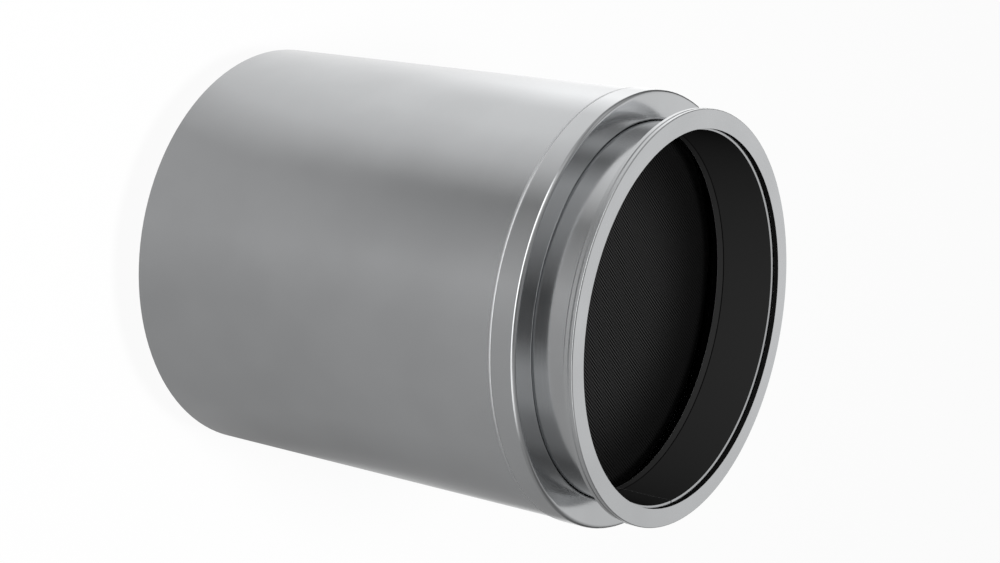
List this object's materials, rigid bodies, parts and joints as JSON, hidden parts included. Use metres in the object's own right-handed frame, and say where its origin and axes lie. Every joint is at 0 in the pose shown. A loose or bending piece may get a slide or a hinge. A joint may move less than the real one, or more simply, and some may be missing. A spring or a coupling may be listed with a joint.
{
  "type": "diesel particulate filter",
  "caption": "Round steel exhaust filter: a rolled can with a pressed inlet cover, a wide clamp-flange neck open to a dark honeycomb brick, and a smaller clamp-flange outlet behind.",
  "frame": {"origin": "centre of the outlet flange's sealing face, on which the filter stands", "axes": "+Z along the can's axis towards the inlet; -Y towards the side that the picture shows"},
  "size_m": [0.3204, 0.3204, 0.424],
  "materials": {
    "shell_steel": "satin rolled stainless sheet",
    "flange_steel": "fine turned stainless",
    "neck_steel": "satin outside, dark inside",
    "weld_steel": "fine rippled weld bead",
    "brick_ceramic": "matt dark porous ceramic",
    "mat_fibre": "matt pressed fibre",
    "wire_mesh": "knitted wire"
  },
  "bodies": {
    "root": {"inlet_flange": "flange_steel", "inlet_clamp_ring": "flange_steel", "inlet_neck": "neck_steel", "inlet_cover": "shell_steel", "can": "shell_steel", "filter_brick": "brick_ceramic", "support_mat": "mat_fibre", "inlet_mesh_ring": "wire_mesh", "outlet_mesh_ring": "wire_mesh", "retaining_ring": "neck_steel", "outlet_cover": "shell_steel", "outlet_neck": "neck_steel", "outlet_flange": "flange_steel", "outlet_clamp_ring": "flange_steel", "can_seam_weld": "weld_steel", "inlet_cover_weld": "weld_steel", "inlet_flange_weld": "weld_steel", "inlet_neck_weld": "weld_steel", "outlet_cover_weld": "weld_steel", "outlet_neck_weld": "weld_steel", "outlet_flange_weld": "weld_steel"}
  },
  "joints": []
}
